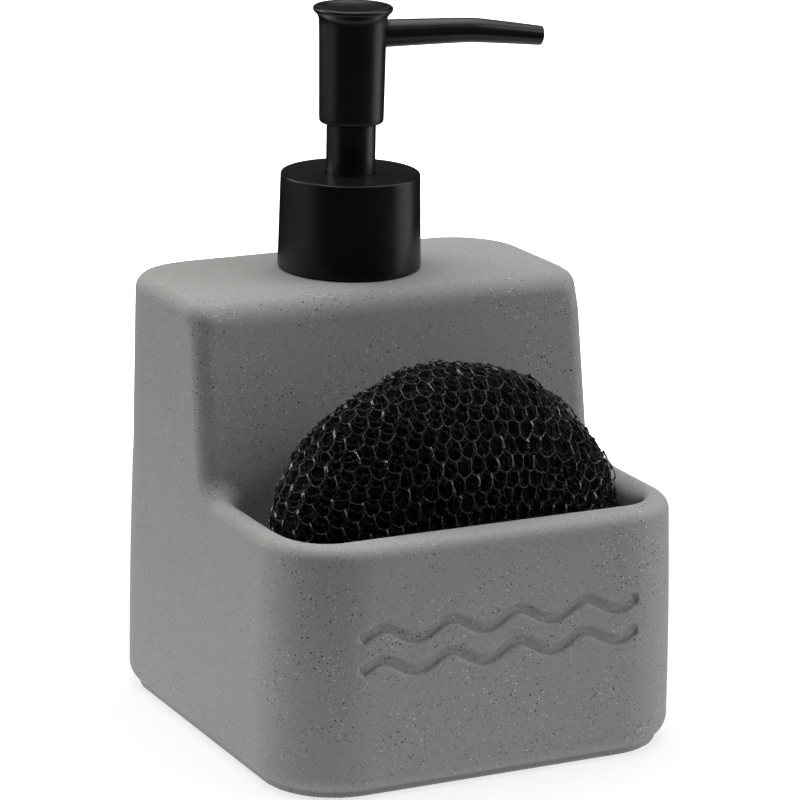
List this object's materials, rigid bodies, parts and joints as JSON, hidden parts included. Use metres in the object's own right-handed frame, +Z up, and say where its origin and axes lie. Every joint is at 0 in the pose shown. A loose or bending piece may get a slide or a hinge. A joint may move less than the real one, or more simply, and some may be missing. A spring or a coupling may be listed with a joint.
{
  "type": "soap pump caddy",
  "caption": "Free-standing speckled stone-look caddy: a soap reservoir with a black screw-on lotion pump behind an open tray that holds a round mesh scourer on edge.",
  "frame": {"origin": "on the table under the middle of the casting's footprint", "axes": "+Z up, +Y towards the reservoir at the back, +X to the right as seen from the front"},
  "size_m": [0.1048, 0.107, 0.1655],
  "materials": {
    "stoneware": "matt, cast, with fine dark and light speckles",
    "black_satin": "satin black",
    "black_inner": "moulded matt black",
    "natural_plastic": "moulded, milky",
    "gasket_foam": "soft foam washer",
    "spring_steel": "drawn wire",
    "mesh_black": "knitted plastic strand, glossy knots"
  },
  "bodies": {
    "caddy": {"caddy_body": "stoneware", "neck_insert": "black_inner"},
    "pump_unit": {"pump_housing": "natural_plastic", "neck_gasket": "gasket_foam", "guide_sleeve": "black_satin", "ball_retainer": "natural_plastic", "dip_tube": "natural_plastic", "return_spring": "spring_steel"},
    "collar": {"closure_ring": "black_inner", "collar_shell": "black_satin"},
    "plunger": {"stem": "natural_plastic", "stem_plug": "natural_plastic", "piston_seal": "natural_plastic"},
    "head": {"pump_head": "black_satin", "spout_nozzle": "black_satin"},
    "inlet_valve": {"inlet_ball": "spring_steel"},
    "scourer": {"mesh_scourer": "mesh_black"}
  },
  "joints": [
    {"name": "pump_lift", "type": "slide", "parent": "caddy", "child": "pump_unit", "axis": [0, 0, 1], "range_m": [0, 0.0063]},
    {"name": "collar_spin", "type": "hinge", "parent": "pump_unit", "child": "collar", "pos_m": [0, 0.0283, 0.114], "axis": [0, 0, 1], "range_deg": [0, 540]},
    {"name": "head_press", "type": "slide", "parent": "pump_unit", "child": "plunger", "axis": [0, 0, -1], "range_m": [0, 0.011], "stiffness_N_per_m": 900, "springref_m": -0.006, "deforming": ["return_spring"]},
    {"name": "head_swivel", "type": "hinge", "parent": "plunger", "child": "head", "pos_m": [0, 0.0283, 0.15], "axis": [0, 0, 1], "continuous": true},
    {"name": "inlet_valve_lift", "type": "slide", "parent": "pump_unit", "child": "inlet_valve", "axis": [0, 0, 1], "range_m": [0, 0.0012]},
    {"name": "scourer_lift", "type": "slide", "parent": "caddy", "child": "scourer", "axis": [0, 0, 1], "range_m": [0, 0.06]}
  ],
  "couplings": [
    {"joint": "pump_lift", "follows": "collar_spin", "m_per_rad": 0.00066845}
  ]
}
